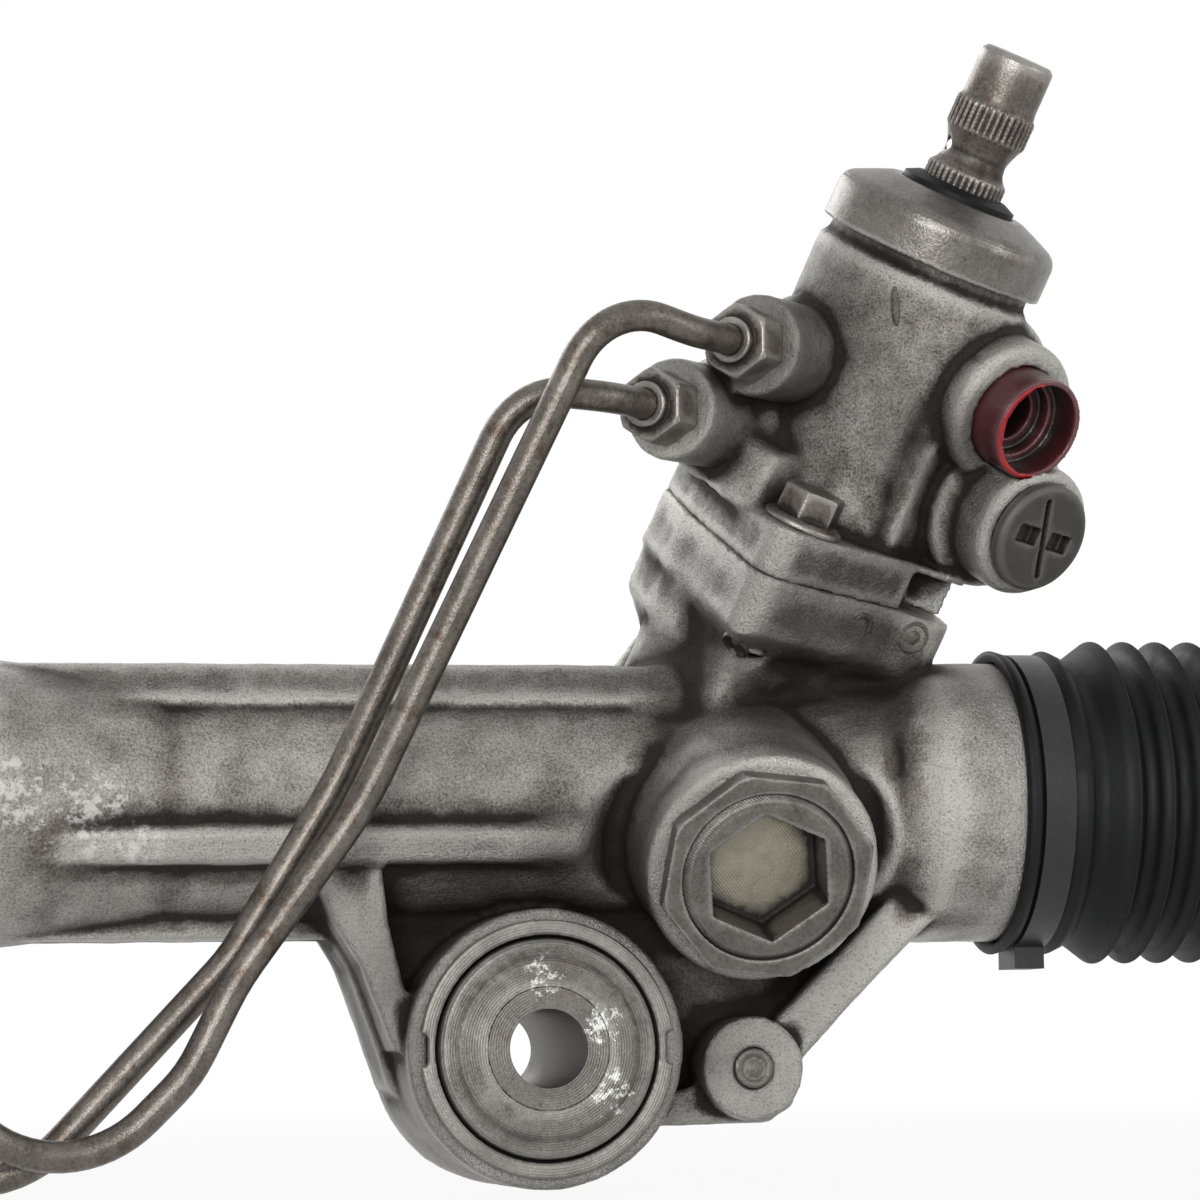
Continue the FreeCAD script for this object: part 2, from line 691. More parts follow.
def cylinder_end_housing():
    """Aluminium end that closes the tube and carries the left boot."""
    seat_start = NECK_LIP
    seat_end = seat_start + BOOT_SEAT_WIDTH
    length = END_HOUSING_LENGTH + PORT_INSET - CYLINDER_PORT_R - PORT_FOOT - PORT_CLEARANCE
    body = turned([(0, 0), (NECK_R - 1, 0), (NECK_R, 1), (NECK_R, seat_start), (BOOT_SEAT_R, seat_start),
                   (BOOT_SEAT_R, seat_end), (NECK_R, seat_end), (NECK_R, length - 2),
                   (NECK_R - 2, length), (0, length)])
    rod_hole = cylinder(CASTING_BORE_R - 1, -1, END_HOUSING_FACE + 1)
    tube_hole = cylinder(CYLINDER_TUBE_R, END_HOUSING_FACE, length + 1)
    return placed(body.cut([rod_hole, tube_hole]), frame(RACK_AXIS + X_DIR * CYLINDER_END, Y_DIR, X_DIR))


def in_cylinder(outer, inner, low, high):
    return placed(ring(outer, inner, low, high), RACK_FRAME)


def seal_holder():
    """Ring inside the tube that carries the inner rod seal."""
    body = in_cylinder(CYLINDER_BORE_R - FIT, BAR_R + 1.2, BORE_RIGHT, BORE_RIGHT + 16)
    pocket = placed(cylinder(BAR_R + 4.5, BORE_RIGHT + 3, BORE_RIGHT + 17), RACK_FRAME)
    return body.cut(pocket)


def inner_rod_seal():
    return in_cylinder(BAR_R + 4.5 - FIT, BAR_R + ROD_CLEARANCE, BORE_RIGHT + 3 + FIT, BORE_RIGHT + 11)


def outer_rod_seal():
    return in_cylinder(CYLINDER_BORE_R - FIT, BAR_R + ROD_CLEARANCE, BORE_LEFT - 7, BORE_LEFT)


def rack_bushing():
    low = CYLINDER_END + END_HOUSING_FACE + FIT
    return in_cylinder(CYLINDER_BORE_R - FIT, BAR_R + ROD_CLEARANCE, low, BORE_LEFT - 7 - FIT)


def piston():
    body = ring(CYLINDER_BORE_R - PISTON_CLEARANCE, BAR_R, BORE_MIDDLE - PISTON_HALF, BORE_MIDDLE + PISTON_HALF)
    groove = ring(CYLINDER_BORE_R + 1, CYLINDER_BORE_R - 3.5, BORE_MIDDLE - 3, BORE_MIDDLE + 3)
    return placed(body.cut(groove), RACK_FRAME)


def piston_seal_ring():
    half = 3 - FIT
    return in_cylinder(CYLINDER_BORE_R - SEAL_CLEARANCE, CYLINDER_BORE_R - 3.5 + FIT,
                       BORE_MIDDLE - half, BORE_MIDDLE + half)


def clamp_screw_height():
    return RACK_Z + CYLINDER_TUBE_R + BRACKET_WALL + CLAMP_SCREW_RISE


def cylinder_mount_bracket():
    """Cast clamp on the tube with the second bush boss below it."""
    x = -MOUNT_SPAN
    half = BRACKET_HALF
    clamp_r = CYLINDER_TUBE_R + BRACKET_WALL
    screw_z = clamp_screw_height()
    top = screw_z + CLAMP_SCREW_FLATS / 2 + 1
    centre = Vector(x, 0, RACK_Z)
    clamp = Part.makeCylinder(clamp_r, 2 * half, centre - X_DIR * half, X_DIR)
    web = wall_on_y([(x - half - 4, 0), (x + half + 4, 0), (x + half, RACK_Z), (x - half, RACK_Z)],
                    ARM_FRONT, ARM_REAR)
    boss = cylinder_on_y(BUSH_CASTING_R, -BUSH_FRONT, BUSH_REAR, x, 0)
    ear = Part.makeBox(1.2 * half, 2 * BRACKET_EAR_HALF, top - RACK_Z - CYLINDER_TUBE_R,
                       Vector(x - 0.6 * half, -BRACKET_EAR_HALF, RACK_Z + CYLINDER_TUBE_R))
    ear = ear.makeFillet(3.0, [e for e in ear.Edges if is_upper_cross_edge(e, top)])
    body = fused([clamp, web, boss, ear])
    bore = Part.makeCylinder(CYLINDER_TUBE_R, 2 * half + 12, centre - X_DIR * (half + 6), X_DIR)
    slit = Part.makeBox(2 * half + 2, CLAMP_SLIT, top - RACK_Z, Vector(x - half - 1, -CLAMP_SLIT / 2, RACK_Z + 10))
    bush = cylinder_on_y(BUSH_SLEEVE_R, -MOUNT_LENGTH, MOUNT_LENGTH, x, 0)
    screw = cylinder_on_y(BOLT_R, -2 * BRACKET_EAR_HALF, 2 * BRACKET_EAR_HALF, x, screw_z)
    return body.cut([bore, slit, bush, screw])


def is_upper_cross_edge(edge, height):
    """True for a level edge along Y at the given height."""
    first = edge.Vertexes[0].Point
    last = edge.Vertexes[-1].Point
    return abs(last.y - first.y) > 1 and abs(first.z - height) < 0.01 and abs(last.z - height) < 0.01


def cylinder_mount_screw():
    """Screw and nut that close the clamp."""
    x = -MOUNT_SPAN
    z = clamp_screw_height()
    ear = BRACKET_EAR_HALF
    shank = cylinder_on_y(BOLT_R - FIT, -ear, ear + 8, x, z)
    head = placed(hexagon(CLAMP_SCREW_FLATS, 0, 6), frame(Vector(x, -ear, z), X_DIR, -Y_DIR))
    nut = placed(hexagon(CLAMP_SCREW_FLATS, 0, 6), frame(Vector(x, ear, z), X_DIR, Y_DIR))
    return fused([shank, head, nut])


# Bushes, one set for each mounting bore

def bush_outer_sleeve(x):
    """Pressed steel sleeve with a front flange that has two small notches."""
    inner = BUSH_SLEEVE_R - BUSH_SLEEVE_WALL
    face = -BUSH_FRONT - BUSH_FLANGE_THICK
    sleeve = cylinder_on_y(BUSH_SLEEVE_R - FIT, -BUSH_FRONT, BUSH_REAR, x, 0)
    flange = cylinder_on_y(BUSH_FLANGE_R, face, -BUSH_FRONT, x, 0)
    bore = cylinder_on_y(inner, face - 1, BUSH_REAR + 1, x, 0)
    notch = Part.makeBox(2 * BUSH_FLANGE_R + 2, BUSH_FLANGE_THICK + 1, NOTCH_WIDTH,
                         Vector(x - BUSH_FLANGE_R - 1, face - 1, -NOTCH_WIDTH / 2))
    keep = cylinder_on_y(BUSH_FLANGE_R - NOTCH_DEPTH, face - 2, BUSH_REAR + 1, x, 0)
    return sleeve.fuse(flange).cut([bore, notch.cut(keep)])


def bush_rubber(x):
    """Rubber between the sleeves and the two washers."""
    outer = BUSH_SLEEVE_R - BUSH_SLEEVE_WALL
    half = MOUNT_LENGTH / 2 - WASHER_THICK
    body = cylinder_on_y(outer, -half, half, x, 0)
    return body.cut(cylinder_on_y(BUSH_INNER_R, -half - 1, half + 1, x, 0))


def bush_inner_sleeve(x):
    body = cylinder_on_y(BUSH_INNER_R, -MOUNT_LENGTH / 2, MOUNT_LENGTH / 2, x, 0)
    return body.cut(cylinder_on_y(MOUNT_BORE_R, -MOUNT_LENGTH, MOUNT_LENGTH, x, 0))


def bush_washers(x):
    """Stop washers at the front and back of the rubber."""
    half = MOUNT_LENGTH / 2
    washers = []
    for side in (-1, 1):
        profile = [(BUSH_INNER_R, half - WASHER_THICK), (WASHER_R, half - WASHER_THICK), (WASHER_R, half - 1.2),
                   (WASHER_R - 1.2, half - 0.4), (WASHER_R - 4.3, half - 0.4), (WASHER_R - 4.6, half),
                   (BUSH_INNER_R, half)]
        washers.append(placed(turned(profile), frame(Vector(x, 0, 0), X_DIR, Y_DIR * side)))
    return Part.makeCompound(washers)


def dowel_pin():
    body = chamfered(cylinder(DOWEL_R - FIT, 0, 20), DOWEL_R - FIT, 0, 20, 0.6)
    return placed(body, frame(Vector(DOWEL_X, DOWEL_FRONT - 1.2, DOWEL_Z), X_DIR, Y_DIR))


# Rack guide

def rack_guide():
    """Spring loaded pad that holds the bar against the pinion."""
    body = cylinder(GUIDE_R - GUIDE_CLEARANCE, GUIDE_START, GUIDE_END)
    saddle = Part.makeCylinder(BAR_R + LINER_THICK + LINER_CLEARANCE, 60, Vector(-30, 0, 0), X_DIR)
    pocket = cylinder(SPRING_POCKET_R, GUIDE_END - SPRING_POCKET, GUIDE_END + 1)
    groove = ring(GUIDE_R + 1, GUIDE_R - 1.6, GUIDE_END - 7, GUIDE_END - 4.5)
    return placed(body.cut([saddle, pocket, groove]), YOKE_FRAME)


def rack_guide_liner():
    inner = BAR_R + LINER_CLEARANCE
    shell = Part.makeCylinder(inner + LINER_THICK - 0.02, 28, Vector(-14, 0, 0), X_DIR)
    shell = shell.cut(Part.makeCylinder(inner, 30, Vector(-15, 0, 0), X_DIR))
    keep = Part.makeBox(30, 27, 20, Vector(-15, -13.5, GUIDE_START + 1))
    return placed(shell.common(keep), YOKE_FRAME)


def rack_guide_spring():
    """Coil spring between the guide and its plug."""
    low = GUIDE_END - SPRING_POCKET + SPRING_WIRE_R + 0.1
    high = PLUG_START + 5 - SPRING_WIRE_R - 0.1
    pitch = (high - low) / SPRING_TURNS
    helix = Part.makeHelix(pitch, high - low, SPRING_R)
    helix.translate(Vector(0, 0, low))
    section = Part.Wire(Part.makeCircle(SPRING_WIRE_R, Vector(SPRING_R, 0, low), Y_DIR))
    coil = Part.Wire(helix.Edges).makePipeShell([section], True, True)
    return placed(coil, YOKE_FRAME)


def rack_guide_plug():
    """Adjusting plug with a blind hex socket and a turned face."""
    radius = GUIDE_R - 0.1
    profile = [(0, PLUG_START), (radius, PLUG_START), (radius, PLUG_END - 1.4), (radius - 1.4, PLUG_END - 0.2),
               (radius - 2.2, PLUG_END - 0.2), (radius - 2.6, PLUG_END), (0, PLUG_END)]
    body = turned(profile)
    socket = hexagon(PLUG_HEX, PLUG_END - PLUG_HEX_DEPTH, PLUG_END + 1, -83.0)
    pocket = cylinder(SPRING_POCKET_R, PLUG_START - 1, PLUG_START + 5)
    return placed(body.cut([socket, pocket]), YOKE_FRAME)


def rack_guide_lock_nut():
    low = YOKE_BOSS_END
    high = low + LOCK_NUT_HEIGHT
    corners = polygon_corners(8, LOCK_NUT_FLATS, 22.5 - 6.0)
    corner_r = LOCK_NUT_FLATS / 2 / math.cos(math.pi / 8)
    nut = chamfered(prism(corners, low, high), corner_r, low, high, 0.8)
    return placed(nut.cut(cylinder(GUIDE_R, low - 1, high + 1)), YOKE_FRAME)


# Valve housing

def side_port(turn, mouth, length):
    """Frame of a port that leaves the valve housing at an angle from the viewer's side, and its length."""
    angle = math.radians(turn)
    outward = Vector(math.sin(angle), -math.cos(angle), 0)
    return VALVE_FRAME.multiply(frame(Vector(*mouth) - outward * length, Z_DIR, outward)), length


def line_ports():
    return [side_port(-LINE_PORT_TURN, mouth, LINE_BOSS_LENGTH) for mouth in LINE_MOUTHS]


def feed_ports():
    return [side_port(FEED_PORT_TURN, mouth, FEED_BOSS_LENGTH) for mouth in FEED_MOUTHS]


def valve_flange_plan():
    return [(x * VALVE_FLANGE_SCALE, y * VALVE_FLANGE_SCALE) for x, y in tower_plan()]


def valve_body():
    """Flange, round body and the block that carries the feed ports."""
    flange_top = JOINT_HEIGHT + VALVE_FLANGE
    flange = rounded_prism(valve_flange_plan(), JOINT_HEIGHT, flange_top, 5.0)
    notch = Part.makeBox(40, 40, BLOCK_FOOT + 1,
                         Vector(NOTCH_START, NOTCH_FLOOR - 40, JOINT_HEIGHT - 1))
    body = turned([(0, JOINT_HEIGHT + 1), (VALVE_BODY_R + 1.5, JOINT_HEIGHT + 1), (VALVE_BODY_R, flange_top + 14),
                   (VALVE_BODY_R, VALVE_TOP - 1), (VALVE_BODY_R - 1, VALVE_TOP), (CAP_SEAT_R, VALVE_TOP),
                   (CAP_SEAT_R, CAP_BOTTOM + CAP_NECK), (0, CAP_BOTTOM + CAP_NECK)])
    block_corners = [(0, 1.3 - BLOCK_FRONT), (BLOCK_EDGE, -BLOCK_FRONT), (BLOCK_SIDE - 2, -BLOCK_REAR + 1),
                     (BLOCK_SIDE, BLOCK_REAR), (0, BLOCK_REAR)]
    block = prism(block_corners, JOINT_HEIGHT + BLOCK_FOOT, BLOCK_TOP)
    web = tapered([(-29, -22), (-23, -27), (-12, -18), (-12, 8), (-29, 8)], flange_top - 2, LINE_MOUTHS[1][2],
                  1.0, 0.9)
    return [flange.cut(notch), body, block, web]


def valve_housing():
    """Casting above the joint with four port bosses."""
    flange_top = JOINT_HEIGHT + VALVE_FLANGE
    drills = [cylinder(VALVE_BORE_R, JOINT_HEIGHT - 1, VALVE_BORE_TOP)]
    drills.append(cylinder(VALVE_NECK_BORE_R, VALVE_BORE_TOP - 1, CAP_BOTTOM + CAP_NECK + 1))
    drills += at_bolts(cylinder(BOLT_R + BOLT_CLEARANCE, JOINT_HEIGHT - 1, flange_top + 1))
    drills += at_bolts(cylinder(BOLT_HEAD_R + BOLT_HEAD_ROOM, flange_top, flange_top + BOLT_POCKET))
    pieces = [placed(piece, VALVE_FRAME) for piece in valve_body()]
    drills = [placed(drill, VALVE_FRAME) for drill in drills]
    for place, length in line_ports():
        pieces.append(placed(port_boss(LINE_BOSS_R, length, LINE_BOSS_FOOT, 0.8), place))
        drills.append(placed(cylinder(nut_thread_radius(), length - FLARE_NUT_GRIP - 1, length + 1), place))
        drills.append(placed(cylinder(FLUID_BORE_R, 4, length), place))
    for (place, length), radius in zip(feed_ports(), FEED_BOSS_R):
        pieces.append(placed(port_boss(radius, length, FEED_BOSS_FOOT, 2.4), place))
        drills.append(placed(cylinder(FEED_MOUTH_R, length - FEED_CAP_DEPTH, length + FEED_CAP_PROUD + 1), place))
        drills.append(placed(cylinder(FLUID_BORE_R, 4, length), place))
    return fused(pieces).cut(drills)


def port_boss(radius, length, foot, rounding):
    """Round boss on local Z with a rounded mouth, wider where it joins the body."""
    boss = turned([(0, 0), (radius + BOSS_FLARE, 0), (radius + BOSS_FLARE, length - foot - BOSS_FLARE),
                   (radius, length - foot), (radius, length), (0, length)])
    mouth = [e for e in boss.Edges if abs(e.BoundBox.ZMin - length) < 0.01 and e.BoundBox.XLength > radius]
    return boss.makeFillet(rounding, mouth)


def valve_housing_bolts():
    """Two flange bolts through the joint."""
    low = JOINT_HEIGHT + VALVE_FLANGE
    high = low + 8
    corner = BOLT_FLATS / 2 / math.cos(math.pi / 6)
    shank = cylinder(BOLT_R - FIT, JOINT_HEIGHT - BOLT_DEPTH, low)
    washer = turned([(0, low), (BOLT_HEAD_R, low), (BOLT_HEAD_R, low + 1), (corner, low + 2), (0, low + 2)])
    head = chamfered(hexagon(BOLT_FLATS, low + 1, high), corner, low, high, 0.6)
    bolt = fused([shank, washer, head])
    return Part.makeCompound([placed(copy, VALVE_FRAME) for copy in at_bolts(bolt)])


def dust_cap():
    """Pressed steel cap over the top of the valve housing."""
    hole = SHAFT_SEAL_R + 3.6
    outside = cap_dome(CAP_R, hole + 2.5, CAP_BOTTOM, CAP_TOP, 4.0)
    inside = cap_dome(CAP_R - CAP_WALL, hole + 2.5 - CAP_WALL, CAP_BOTTOM - 1, CAP_TOP - CAP_WALL, 2.6)
    mouth = cylinder(hole, CAP_BOTTOM, CAP_TOP + 1)
    return placed(outside.cut([inside, mouth]), VALVE_FRAME)


def cap_dome(radius, neck, low, high, rounding):
    """Solid dome with a rounded shoulder and a flat neck on its sloping top."""
    body = turned([(0, low), (radius, low), (radius, high - 4.2), (neck + 3.0, high - 1.2), (neck, high), (0, high)])
    shoulder = [e for e in body.Edges if abs(e.BoundBox.ZMin - high + 4.2) < 0.01 and e.BoundBox.ZLength < 0.01]
    return body.makeFillet(rounding, shoulder)


def dust_seal():
    """Rubber ring around the shaft in the mouth of the cap."""
    hole = SHAFT_SEAL_R + 3.6
    inner = SHAFT_SEAL_R + SHAFT_CLEARANCE
    low = CAP_BOTTOM + CAP_NECK + 0.3
    profile = [(inner, low), (hole + 1.8, low), (hole + 1.8, CAP_TOP - CAP_WALL - 0.4),
               (hole - FIT, CAP_TOP - CAP_WALL - 0.4), (hole - FIT, CAP_TOP + 1.2), (inner + 1, CAP_TOP + 2.4),
               (inner, CAP_TOP + 2.4)]
    return placed(turned(profile), VALVE_FRAME)


def input_shaft_seal():
    return placed(ring(VALVE_NECK_BORE_R - FIT, SHAFT_SEAL_R + SHAFT_CLEARANCE, VALVE_TOP - 6, VALVE_TOP + 6),
                  VALVE_FRAME)


def input_shaft_bearing():
    return placed(ring(VALVE_NECK_BORE_R - FIT, SHAFT_R + SHAFT_CLEARANCE, VALVE_BORE_TOP + 1, VALVE_TOP - 7),
                  VALVE_FRAME)


def pressure_port_cap():
    """Hollow travel cap pushed into the pressure port."""
    place, length = feed_ports()[0]
    low = length - FEED_CAP_DEPTH + 0.5
    high = length + FEED_CAP_PROUD
    outer = FEED_MOUTH_R - 0.15
    body = turned([(0, low), (outer - 1, low), (outer, low + 2), (outer, high), (0, high)])
    steps = [cylinder(outer - 1.2, length + 1, high + 1), cylinder(outer - 3.0, length - 2, high),
             cylinder(outer - 5.4, low + 1.5, high)]
    return placed(body.cut(steps), place)


def return_port_plug():
    """Moulded plug with a cross and two windows in its face."""
    place, length = feed_ports()[1]
    low = length - FEED_CAP_DEPTH + 0.5
    high = length + 3.0
    outer = FEED_MOUTH_R - 0.15
    body = turned([(0, low), (outer - 1, low), (outer, low + 2), (outer, length), (outer + 0.8, length + 0.1),
                   (outer + 0.8, high - 0.8), (outer, high), (0, high)])
    cuts = []
    for sign in (1, -1):
        window = Part.makeBox(4.0, 6.0, 4.0, Vector(-2, 1.6, high - 3))
        window.rotate(Vector(0, 0, 0), Z_DIR, 90 + 90 * sign)
        cuts.append(window)
    slot = Part.makeBox(18.0, 1.4, 3.0, Vector(-9, -0.7, high - 2))
    slot.rotate(Vector(0, 0, 0), Z_DIR, 20)
    cuts.append(slot)
    return placed(body.cut(cuts), place)


# Pinion, valve sleeve and input shaft

def pinion_shaft():
    """Helical pinion with journals and the head that drives the sleeve."""
    half = PINION_FACE / 2
    lower_journal = LOWER_BEARING_R - 4.0
    bearing_top = MAIN_BEARING_LOW + MAIN_BEARING_WIDTH
    root_r = pinion_pitch_radius() - RACK_ADDENDUM - TIP_CLEARANCE
    shaft_end = -half - 1 - LOWER_BEARING_WIDTH - 4
    body = turned([
        (0, shaft_end), (lower_journal - 0.6, shaft_end), (lower_journal, shaft_end + 0.6),
        (lower_journal, -half), (root_r, -half), (root_r, half), (MAIN_BEARING_BORE + 1.5, half + 3),
        (MAIN_BEARING_BORE + 1.5, MAIN_BEARING_LOW), (MAIN_BEARING_BORE, MAIN_BEARING_LOW),
        (MAIN_BEARING_BORE, PINION_HEAD_LOW), (PINION_HEAD_R, PINION_HEAD_LOW),
        (PINION_HEAD_R, SLEEVE_BOTTOM - FIT), (0, SLEEVE_BOTTOM - FIT)])
    slack = TANG_R * math.sin(math.radians(VALVE_TWIST + 0.8))
    socket_low = SLEEVE_BOTTOM - TANG_LENGTH - 1
    socket = cylinder(TANG_R + 0.2, socket_low, SLEEVE_BOTTOM + 1)
    flats = Part.makeBox(4 * TANG_R, 2 * (TANG_HALF + slack), TANG_LENGTH + 3,
                         Vector(-2 * TANG_R, -TANG_HALF - slack, socket_low))
    bar_hole = cylinder(TORSION_R, PINION_HEAD_LOW - 4, socket_low + 1)
    return placed(body.fuse(pinion_teeth()).cut([socket.common(flats), bar_hole]), VALVE_FRAME)


def torsion_bar():
    """Slim bar between pinion and input shaft."""
    low = PINION_HEAD_LOW - 4 + 0.1
    top = SHAFT_TOP - 12
    body = turned([(0, low), (TORSION_R - FIT, low), (TORSION_R - FIT, low + 10), (TORSION_R - 0.6, low + 13),
                   (TORSION_R - 0.6, top - 16), (TORSION_BORE_R - FIT, top - 13), (TORSION_BORE_R - FIT, top),
                   (0, top)])
    pin_hole = Part.makeCylinder(TORSION_PIN_R, 30, Vector(-15, 0, TORSION_PIN_HEIGHT), X_DIR)
    return placed(body.cut(pin_hole), VALVE_FRAME)


def torsion_pin():
    length = 2 * (WAIST_R - 0.3)
    pin = Part.makeCylinder(TORSION_PIN_R - FIT, length, Vector(-length / 2, 0, TORSION_PIN_HEIGHT), X_DIR)
    return placed(pin, VALVE_FRAME)


def serrated_band(low, high):
    """Band of V shaped splines."""
    corners = []
    for index in range(SERRATION_COUNT):
        for radius, shift in ((SERRATION_R, 0.0), (SERRATION_R - SERRATION_DEPTH, 0.5)):
            angle = 2 * math.pi * (index + shift) / SERRATION_COUNT
            corners.append((radius * math.cos(angle), radius * math.sin(angle)))
    return chamfered(prism(corners, low, high), SERRATION_R, low, high, 0.9)


def input_shaft():
    """Hollow input shaft with two serrated bands and a driving tang."""
    low = SLEEVE_BOTTOM
    lower_end = LOWER_SERRATION + SERRATION_WIDTH
    upper_end = UPPER_SERRATION + SERRATION_WIDTH
    band_root = SERRATION_R - SERRATION_DEPTH
    body = turned([
        (0, low), (TANG_R, low), (TANG_R, low + 1), (SHAFT_R, low + 1.5), (SHAFT_R, VALVE_TOP - 6.5),
        (SHAFT_SEAL_R, VALVE_TOP - 6), (SHAFT_SEAL_R, LOWER_SERRATION), (band_root, LOWER_SERRATION),
        (band_root, lower_end - 0.5), (WAIST_R + 0.3, lower_end + 1.5), (WAIST_R, lower_end + 3.5),
        (WAIST_R + 0.4, UPPER_SERRATION - 2.5), (band_root, UPPER_SERRATION), (band_root, upper_end),
        (SHAFT_TIP_R, upper_end + 1.5), (SHAFT_TIP_R, SHAFT_TOP - 1), (SHAFT_TIP_R - 1, SHAFT_TOP),
        (0, SHAFT_TOP)])
    tang = cylinder(TANG_R, low - TANG_LENGTH, low + 1)
    flats = Part.makeBox(4 * TANG_R, 2 * TANG_HALF, TANG_LENGTH + 1,
                         Vector(-2 * TANG_R, -TANG_HALF, low - TANG_LENGTH))
    bands = [serrated_band(LOWER_SERRATION, lower_end), serrated_band(UPPER_SERRATION, upper_end)]
    bar_hole = cylinder(TORSION_BORE_R, low - TANG_LENGTH - 1, SHAFT_TOP - 12)
    pin_hole = Part.makeCylinder(TORSION_PIN_R, 30, Vector(-15, 0, TORSION_PIN_HEIGHT), X_DIR)
    dimple = Part.makeCone(0, 2.4, 2.4, Vector(0, 0, SHAFT_TOP - 2.2))
    return placed(fused([body, tang.common(flats)] + bands).cut([bar_hole, pin_hole, dimple]), VALVE_FRAME)


def sleeve_ring_heights():
    span = SLEEVE_TOP - SLEEVE_BOTTOM
    return [SLEEVE_BOTTOM + span * (2 * i + 1) / 8 for i in range(4)]


def valve_sleeve():
    """Rotary valve sleeve with four seal grooves and fluid holes."""
    body = ring(VALVE_BORE_R - SLEEVE_CLEARANCE, SHAFT_R + SHAFT_CLEARANCE, SLEEVE_BOTTOM, SLEEVE_TOP)
    cuts = [ring(VALVE_BORE_R + 1, VALVE_BORE_R - 2.2, h - 1.2, h + 1.2) for h in sleeve_ring_heights()]
    for index in range(3):
        height = (sleeve_ring_heights()[index] + sleeve_ring_heights()[index + 1]) / 2
        for turn in range(2):
            hole = Part.makeCylinder(1.6, 60, Vector(-30, 0, height), X_DIR)
            hole.rotate(Vector(0, 0, 0), Z_DIR, 90 * turn + 30 * index)
            cuts.append(hole)
    return placed(body.cut(cuts), VALVE_FRAME)


def sleeve_seal_rings():
    outer = VALVE_BORE_R - SLEEVE_RING_CLEARANCE
    rings = [ring(outer, VALVE_BORE_R - 2.2 + FIT, h - 1.2 + FIT, h + 1.2 - FIT) for h in sleeve_ring_heights()]
    return Part.makeCompound([placed(r, VALVE_FRAME) for r in rings])


def main_bearing_outer_ring():
    top = MAIN_BEARING_LOW + MAIN_BEARING_WIDTH
    race = Part.makeTorus(main_ball_circle(), BEARING_BALL_R + 0.1)
    race.translate(Vector(0, 0, (MAIN_BEARING_LOW + top) / 2))
    body = ring(MAIN_BEARING_R - FIT, MAIN_BEARING_R - 3.2, MAIN_BEARING_LOW, top)
    return placed(body.cut(race), VALVE_FRAME)


def main_ball_circle():
    return (MAIN_BEARING_R + MAIN_BEARING_BORE) / 2


def main_bearing_inner_ring():
    top = MAIN_BEARING_LOW + MAIN_BEARING_WIDTH
    race = Part.makeTorus(main_ball_circle(), BEARING_BALL_R + 0.1)
    race.translate(Vector(0, 0, (MAIN_BEARING_LOW + top) / 2))
    body = ring(MAIN_BEARING_BORE + 3.2, MAIN_BEARING_BORE + FIT, MAIN_BEARING_LOW + FIT, top)
    return placed(body.cut(race), VALVE_FRAME)


def main_bearing_balls():
    middle = MAIN_BEARING_LOW + MAIN_BEARING_WIDTH / 2
    balls = []
    for index in range(BEARING_BALLS):
        angle = 2 * math.pi * index / BEARING_BALLS
        place = Vector(main_ball_circle() * math.cos(angle), main_ball_circle() * math.sin(angle), middle)
        balls.append(placed(Part.makeSphere(BEARING_BALL_R, place), VALVE_FRAME))
    return Part.makeCompound(balls)


def pinion_seal():
    low = MAIN_BEARING_LOW + MAIN_BEARING_WIDTH + 0.3
    return placed(ring(MAIN_BEARING_R - FIT, MAIN_BEARING_BORE + SHAFT_CLEARANCE, low, low + 6.5), VALVE_FRAME)


def lower_pinion_bearing():
    top = -PINION_FACE / 2 - 1
    low = top - LOWER_BEARING_WIDTH
    return placed(ring(LOWER_BEARING_R - FIT, LOWER_BEARING_R - 4.0 + SHAFT_CLEARANCE, low, top - 0.05),
                  VALVE_FRAME)


def lower_cap():
    top = -PINION_FACE / 2 - 1 - LOWER_BEARING_WIDTH
    low = LOWER_BOSS_END - 3
    body = turned([(0, low), (LOWER_CAP_R - 1.5, low), (LOWER_CAP_R - FIT, low + 1.5),
                   (LOWER_CAP_R - FIT, top - 0.1), (0, top - 0.1)])
    hollow = cylinder(LOWER_BEARING_R - 2.5, low + 3, top + 1)
    socket = hexagon(10.0, low - 1, low + 2.4)
    return placed(body.cut([hollow, socket]), VALVE_FRAME)


# Inner tie rods, modelled outward on local Z from the end of the bar

def socket_body():
    """Cup with a threaded stud, flats and a rolled lip over the ball."""
    cavity_r = BALL_R + SEAT_THICK + 2 * SEAT_CLEARANCE
    mouth = BALL_DEPTH + SOCKET_LIP
    start = LOCK_WASHER_THICK
    body = turned([(0, -STUD_LENGTH), (STUD_R - 1, -STUD_LENGTH), (STUD_R - FIT, 1 - STUD_LENGTH),
                   (STUD_R - FIT, start), (SOCKET_R - 2, start), (SOCKET_R, start + 2),
                   (SOCKET_R, mouth - 5), (SOCKET_MOUTH_R + 2.6, mouth + 0.9), (SOCKET_MOUTH_R + 0.9, mouth + 0.9),
                   (SOCKET_MOUTH_R, mouth), (0, mouth)])
    cavity = Part.makeSphere(cavity_r, Vector(0, 0, BALL_DEPTH))
    throat = cylinder(SOCKET_MOUTH_R, BALL_DEPTH, mouth + 2)
    side = Part.makeBox(10, 60, 13, Vector(SOCKET_R - SOCKET_FLAT_DEPTH, -30, start - 1))
    other = side.mirror(Vector(0, 0, 0), X_DIR)
    return body.cut([cavity, throat, side, other])


def ball_seat():
    """Plastic shell between ball and socket, open toward the rod."""
    outer_r = BALL_R + SEAT_THICK + SEAT_CLEARANCE
    shell = Part.makeSphere(outer_r).cut(Part.makeSphere(BALL_R + SEAT_CLEARANCE))
    rim = (BALL_R + SEAT_CLEARANCE) * math.cos(math.radians(SEAT_OPENING))
    shell = shell.cut(cylinder(outer_r + 1, rim, outer_r + 1))
    shell.translate(Vector(0, 0, BALL_DEPTH))
    return shell


